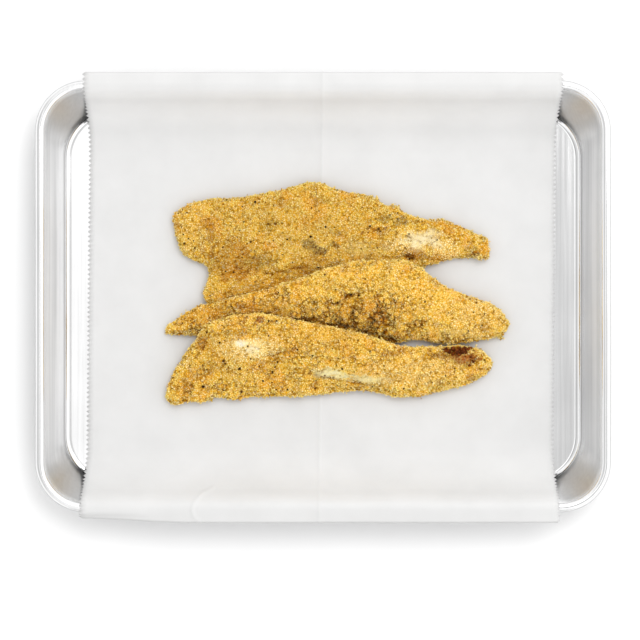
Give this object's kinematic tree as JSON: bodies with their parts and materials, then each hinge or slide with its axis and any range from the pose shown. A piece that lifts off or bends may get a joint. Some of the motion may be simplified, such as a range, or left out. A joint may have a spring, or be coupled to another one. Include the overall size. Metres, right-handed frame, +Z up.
{
  "type": "fried fish",
  "caption": "Cornmeal-crusted fried fish fillets, shingled on torn-edged baking parchment in a small sheet pan with sloping walls and a rolled rim.",
  "frame": {"origin": "middle of the pan's flat underside", "axes": "+X along the pan's long side towards the fillets' tail ends, +Y towards the pan's back, +Z up"},
  "size_m": [0.328, 0.256, 0.0272],
  "materials": {
    "pan_metal": "bright satin aluminium",
    "parchment_paper": "white silicone-coated baking parchment",
    "back_crust": "dull golden cornmeal crust with grey skin showing through",
    "middle_crust": "bright golden cornmeal crust, browned in its crevices",
    "front_crust": "golden cornmeal crust with bare pale and charred patches"
  },
  "bodies": {
    "root": {"pan": "pan_metal", "parchment": "parchment_paper", "fillet_back": "back_crust", "fillet_middle": "middle_crust", "fillet_front": "front_crust"}
  },
  "joints": []
}
